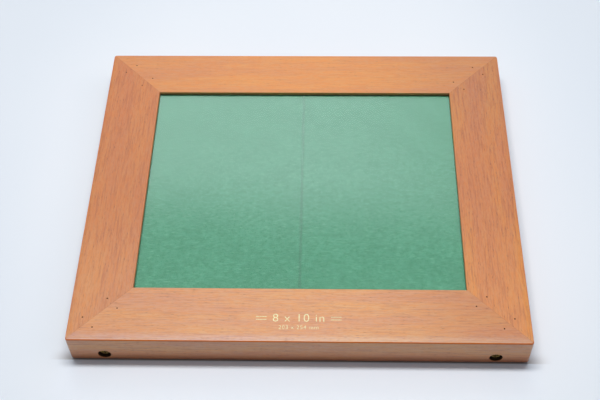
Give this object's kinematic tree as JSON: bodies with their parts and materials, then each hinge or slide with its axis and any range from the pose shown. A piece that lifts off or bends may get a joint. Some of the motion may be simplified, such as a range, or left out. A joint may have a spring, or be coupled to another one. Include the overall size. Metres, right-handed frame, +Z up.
{
  "type": "contact printing frame",
  "caption": "Wooden frame that presses a negative and photographic paper flat against its glass, with a split, hinged, felted back held by turning leaf springs.",
  "frame": {"origin": "middle of the underside, on the plane that the frame rests on", "axes": "+X along the longer rails to the right, +Y from the front rail to the rear rail, +Z up, towards the glass side"},
  "size_m": [0.346, 0.2952, 0.0305],
  "materials": {
    "rail_wood": "satin lacquered mahogany",
    "board_wood": "bare birch plywood",
    "felt": "green wool felt",
    "glass": "clear plate glass",
    "brass": "satin, a little tarnished",
    "spring_steel": "rolled spring steel",
    "steel": "plain steel wire"
  },
  "bodies": {
    "frame": {"front_rail": "rail_wood", "rear_rail": "rail_wood", "left_rail": "rail_wood", "right_rail": "rail_wood", "front_left_corner_spline": "rail_wood", "front_left_corner_brads": "steel", "front_left_keeper": "brass", "front_right_corner_spline": "rail_wood", "front_right_corner_brads": "steel", "front_right_keeper": "brass", "front_corner_screws": "brass", "rear_left_corner_spline": "rail_wood", "rear_left_corner_brads": "steel", "rear_left_keeper": "brass", "rear_right_corner_spline": "rail_wood", "rear_right_corner_brads": "steel", "rear_right_keeper": "brass", "rear_corner_screws": "brass", "keeper_screws": "brass", "keeper_stop_pins": "steel", "glass": "glass"},
    "left_half": {"left_back_board": "board_wood", "left_felt": "felt", "left_hinge_screws": "brass", "left_pivot_washer": "brass", "left_pivot_screw": "brass", "left_pivot_insert": "brass", "front_hinge_left_leaf": "brass", "rear_hinge_left_leaf": "brass", "front_hinge_pin": "steel", "rear_hinge_pin": "steel"},
    "right_half": {"right_back_board": "board_wood", "right_felt": "felt", "right_hinge_screws": "brass", "right_pivot_washer": "brass", "right_pivot_screw": "brass", "right_pivot_insert": "brass", "front_hinge_right_leaf": "brass", "rear_hinge_right_leaf": "brass"},
    "left_spring": {"left_leaf_spring": "spring_steel"},
    "right_spring": {"right_leaf_spring": "spring_steel"}
  },
  "joints": [
    {"name": "back_lift", "type": "slide", "parent": "frame", "child": "left_half", "axis": [0, 0, -1], "range_m": [0, 0.08]},
    {"name": "back_fold", "type": "hinge", "parent": "left_half", "child": "right_half", "pos_m": [0, 0, 0.0066], "axis": [0, 1, 0], "range_deg": [0, 165]},
    {"name": "left_spring_turn", "type": "hinge", "parent": "left_half", "child": "left_spring", "pos_m": [-0.06567, 0, 0.008], "axis": [0, 0, 1], "range_deg": [-14, 12]},
    {"name": "right_spring_turn", "type": "hinge", "parent": "right_half", "child": "right_spring", "pos_m": [0.06567, 0, 0.008], "axis": [0, 0, 1], "range_deg": [-14, 12]}
  ]
}
